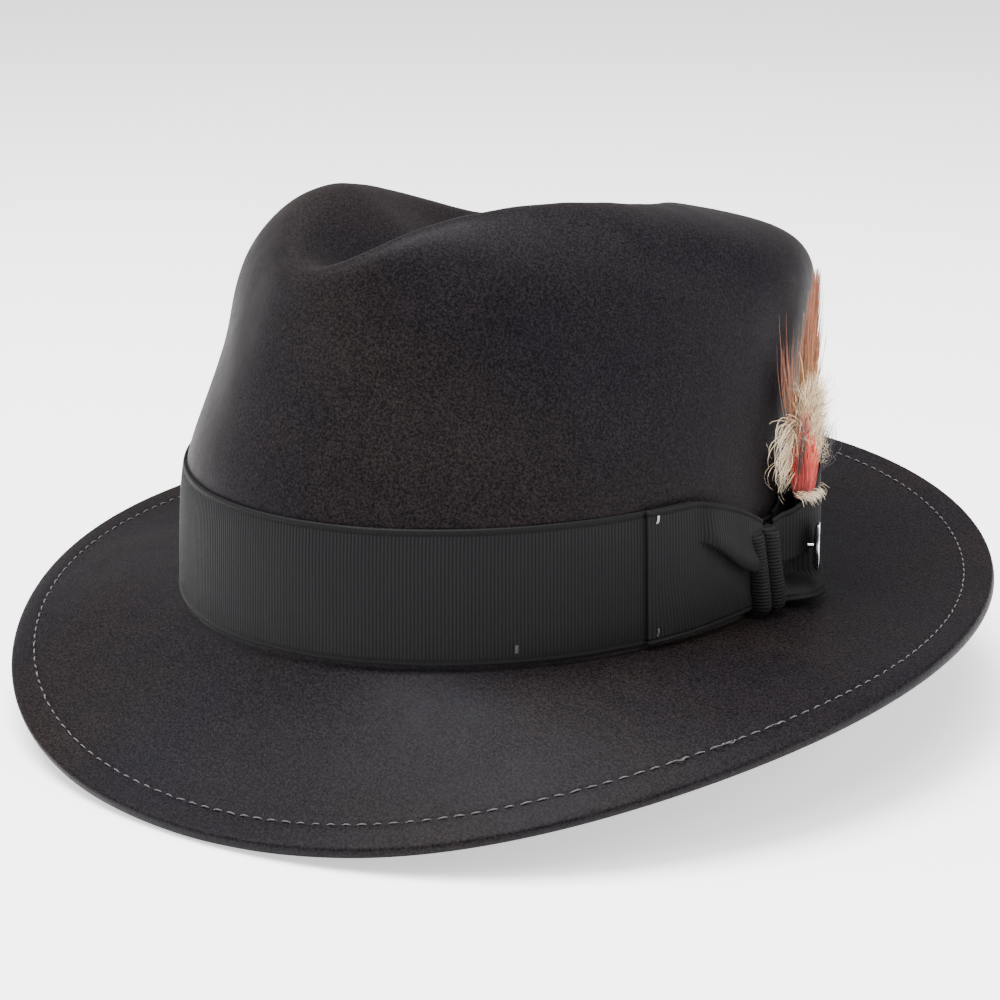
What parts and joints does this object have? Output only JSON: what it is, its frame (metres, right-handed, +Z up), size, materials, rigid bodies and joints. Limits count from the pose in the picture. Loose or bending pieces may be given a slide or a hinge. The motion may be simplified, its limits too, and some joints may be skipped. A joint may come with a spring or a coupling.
{
  "type": "fedora hat",
  "caption": "Felt fedora with a teardrop crown, snap brim with stitched folded edge, grosgrain band with a side bow, feather and blank pin, leather sweatband and lining.",
  "frame": {"origin": "centre of the head opening, at the height where the brim breaks from the crown", "axes": "+Z up out of the crown, -Y to the front of the hat, +X to the wearer's left, the side with the bow"},
  "size_m": [0.292, 0.3092, 0.1589],
  "materials": {
    "felt": "matt fur felt, charcoal black",
    "edge_thread": "grey sewing thread",
    "ribbon": "ribbed grosgrain, charcoal",
    "tack_thread": "dark sewing thread",
    "pin_metal": "polished plating",
    "pin_enamel": "black enamel, blank",
    "quill": "horny quill",
    "rust_feather": "rust hackle barbs",
    "tan_feather": "tan fluffy down",
    "red_feather": "dyed red barbs",
    "dark_feather": "wiry dark barbs",
    "leather": "brown roan leather",
    "reed": "plastic reed",
    "tape": "woven tape",
    "label": "blank paper",
    "satin": "satin lining",
    "piping": "corded piping",
    "clear_film": "clear soft film"
  },
  "bodies": {
    "hat": {"bow_front_fold": "ribbon", "bow_front_loop": "ribbon", "bow_knot": "ribbon", "bow_rear_loop": "ribbon", "bow_tacks": "tack_thread", "felt_body": "felt", "hatband_ribbon": "ribbon", "hatband_tacks": "tack_thread", "lining_piping": "piping", "lining_side": "satin", "lining_tip": "satin", "pin_back": "pin_enamel", "pin_clutch": "pin_metal", "pin_face": "pin_metal", "pin_post": "pin_metal", "reed_tape": "tape", "size_label": "label", "sweatband": "leather", "sweatband_bow": "ribbon", "sweatband_rear_seam": "leather", "sweatband_reed": "reed", "sweatband_stitching": "tape", "tip_shield": "clear_film", "welt_stitching": "edge_thread"},
    "feather": {"feather_binding": "tack_thread", "feather_dark_wisps": "dark_feather", "feather_quill": "quill", "feather_red_tuft": "red_feather", "feather_rust_hackle": "rust_feather", "feather_tan_down": "tan_feather"}
  },
  "joints": [
    {"name": "feather_pull", "type": "slide", "parent": "hat", "child": "feather", "axis": [-0.0334, 0.0236, 0.9992], "range_m": [0, 0.03]}
  ]
}
